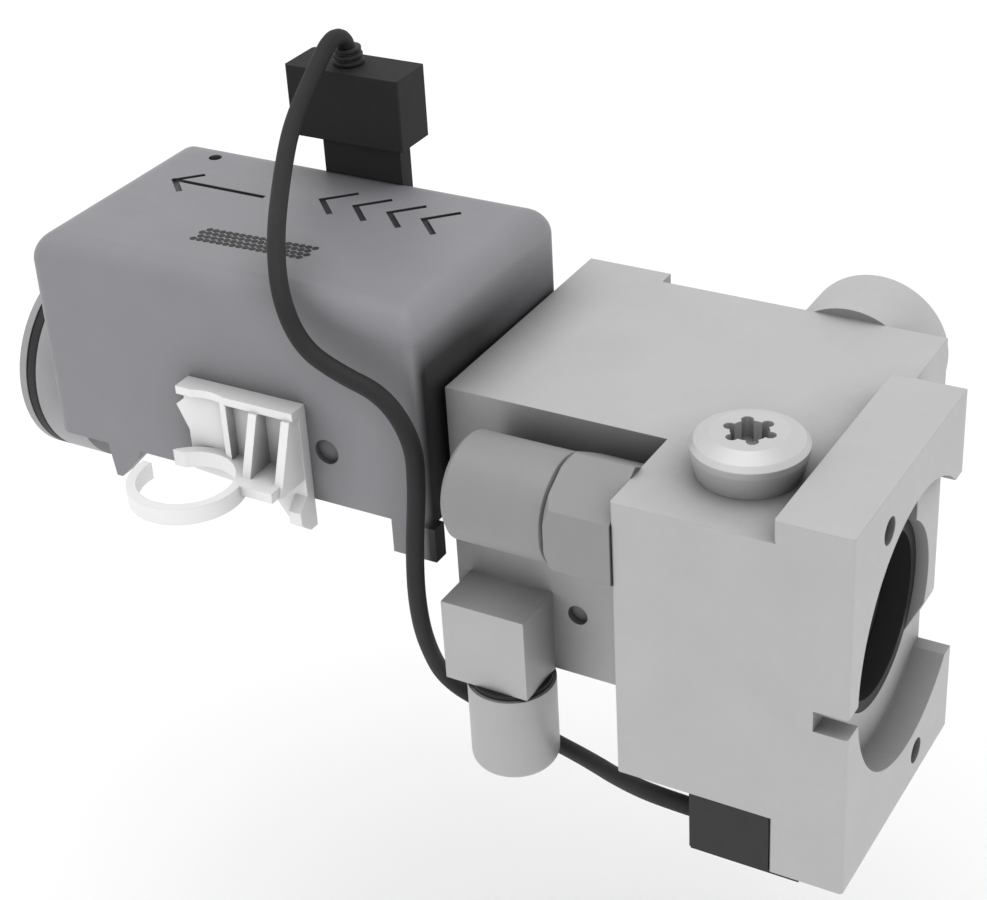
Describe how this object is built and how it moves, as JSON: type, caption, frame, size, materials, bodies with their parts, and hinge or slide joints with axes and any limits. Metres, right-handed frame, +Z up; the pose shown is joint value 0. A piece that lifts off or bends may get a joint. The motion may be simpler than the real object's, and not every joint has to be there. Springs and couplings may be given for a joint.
{
  "type": "motorised valve head",
  "caption": "Motorised shut-off valve in a heating unit's flow line: a cast inlet block, a geared actuator over its flow tube, and a plug-in temperature sensor.",
  "frame": {"origin": "centre of the inlet port's mouth, at the bottom of the flange's counterbore", "axes": "+X out of the inlet port, +Y to the back of the block, +Z up towards the actuator's roof"},
  "size_m": [0.1113, 0.0597, 0.0748],
  "materials": {
    "cast_block": "fine cast, satin pale grey",
    "grey_plastic": "moulded, matt mid grey",
    "tube_plastic": "moulded, satin grey",
    "black_rubber": "matt black",
    "zinc_steel": "satin zinc",
    "sensor_plastic": "matt dark grey",
    "plug_plastic": "satin black",
    "cable_sheath": "matt dark grey",
    "gear_plastic": "natural acetal",
    "disc_plastic": "moulded, dark grey",
    "board_green": "solder resist",
    "white_plastic": "moulded, satin white"
  },
  "bodies": {
    "housing": {"valve_block": "cast_block", "inlet_sleeve": "black_rubber", "inlet_seal": "black_rubber", "block_screw": "zinc_steel", "test_port_nut": "zinc_steel", "test_port_cap": "zinc_steel", "drain_cap": "zinc_steel", "cap_washer": "black_rubber", "sensor_body": "sensor_plastic", "sensor_probe": "zinc_steel", "flow_tube": "tube_plastic", "spigot_oring": "black_rubber", "coupling_oring": "black_rubber", "end_gasket": "black_rubber", "housing_cover": "grey_plastic", "housing_base": "grey_plastic", "cover_screws": "zinc_steel", "gear_plate": "tube_plastic", "idler_pin": "zinc_steel", "motor_body": "zinc_steel", "circuit_board": "board_green", "connector_header": "plug_plastic", "cable_plug": "plug_plastic", "pipe_clip": "white_plastic", "sensor_cable": "cable_sheath"},
    "valve": {"valve_gear": "gear_plastic", "valve_stem": "zinc_steel", "valve_disc": "disc_plastic"},
    "idler": {"idler_gear": "gear_plastic"},
    "rotor": {"motor_pinion": "gear_plastic"}
  },
  "joints": [
    {"name": "valve_turn", "type": "hinge", "parent": "housing", "child": "valve", "pos_m": [-0.0839, 0.0063, 0.0153], "axis": [0, 0, 1], "range_deg": [0, 90]},
    {"name": "idler_turn", "type": "hinge", "parent": "housing", "child": "idler", "pos_m": [-0.0711, 0.0063, 0.0153], "axis": [0, 0, 1], "range_deg": [-270, 0]},
    {"name": "rotor_turn", "type": "hinge", "parent": "housing", "child": "rotor", "pos_m": [-0.0599, 0.0063, 0.0153], "axis": [0, 0, 1], "range_deg": [0, 675]}
  ],
  "couplings": [
    {"joint": "idler_turn", "follows": "valve_turn", "ratio": -3},
    {"joint": "rotor_turn", "follows": "valve_turn", "ratio": 7.5}
  ]
}
